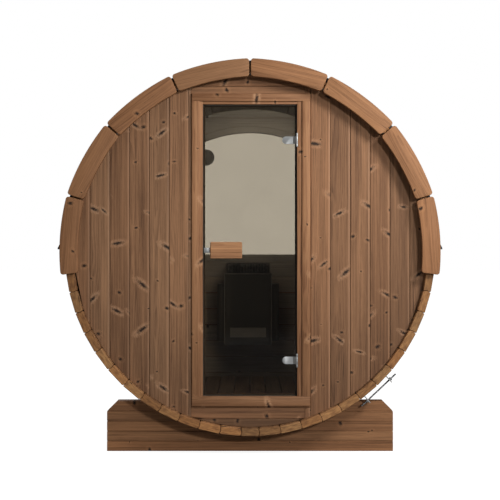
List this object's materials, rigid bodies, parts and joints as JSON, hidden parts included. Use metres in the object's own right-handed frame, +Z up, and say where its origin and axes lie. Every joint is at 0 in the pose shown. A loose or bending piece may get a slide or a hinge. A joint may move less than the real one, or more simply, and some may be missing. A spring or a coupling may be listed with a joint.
{
  "type": "barrel sauna",
  "caption": "Outdoor barrel sauna of timber staves on two cradles, with a hinged glass door, shingled roof, arched end trim and a half-moon rear window.",
  "frame": {"origin": "centre of the footprint on the ground, under the middle of the barrel", "axes": "+Z up, -Y towards the door front along the barrel's axis, +X to the right seen from the front"},
  "size_m": [2.126, 1.964, 2.1937],
  "materials": {
    "stave_timber": "oiled heat-treated softwood staves",
    "wall_timber": "oiled heat-treated boards with knots",
    "frame_timber": "smooth planed timber",
    "trim_timber": "smooth planed timber with rounded corners",
    "cradle_timber": "glued laminated beam, oiled",
    "floor_timber": "planed boards",
    "handle_timber": "planed and chamfered",
    "roof_deck_timber": "dark stained boarding",
    "shingles": "mineral-surfaced bitumen shingles",
    "smoked_glass": "toughened, smoked",
    "clear_glass": "toughened, clear",
    "steel": "satin stainless steel",
    "heater_steel": "heat-resistant black paint",
    "stone": "rough dark sauna stones"
  },
  "bodies": {
    "root": {"cradle_front": "cradle_timber", "cradle_back": "cradle_timber", "shell_bottom": "stave_timber", "shell_top": "stave_timber", "shell_right_lower": "stave_timber", "shell_right_middle": "stave_timber", "shell_right_upper": "stave_timber", "shell_left_lower": "stave_timber", "shell_left_middle": "stave_timber", "shell_left_upper": "stave_timber", "front_wall_left": "wall_timber", "front_wall_right": "wall_timber", "front_wall_head": "wall_timber", "front_wall_sill": "wall_timber", "door_frame_left": "frame_timber", "door_frame_right": "frame_timber", "door_frame_head": "frame_timber", "door_frame_sill": "frame_timber", "hinge_brackets": "steel", "strike_plate": "steel", "back_wall_lower": "wall_timber", "back_wall_upper": "wall_timber", "window_frame": "frame_timber", "window_glass": "clear_glass", "window_vent": "heater_steel", "floor_boards": "floor_timber", "floor_bearers": "floor_timber", "heater_housing": "heater_steel", "heater_stones": "stone", "roof_deck": "roof_deck_timber", "roof_shingles_left": "shingles", "roof_shingles_right": "shingles", "eaves": "shingles", "fascia_front_left": "trim_timber", "fascia_front_right": "trim_timber", "fascia_back_left": "trim_timber", "fascia_back_right": "trim_timber", "bands": "steel", "tension_screws": "steel"},
    "door": {"door_glass": "smoked_glass", "door_handle": "handle_timber", "door_latch": "steel", "hinge_leaves": "steel"}
  },
  "joints": [
    {"name": "door_hinge", "type": "hinge", "parent": "root", "child": "door", "pos_m": [0.2607, -0.9065, 1.1375], "axis": [0, 0, 1], "range_deg": [0, 110]}
  ]
}
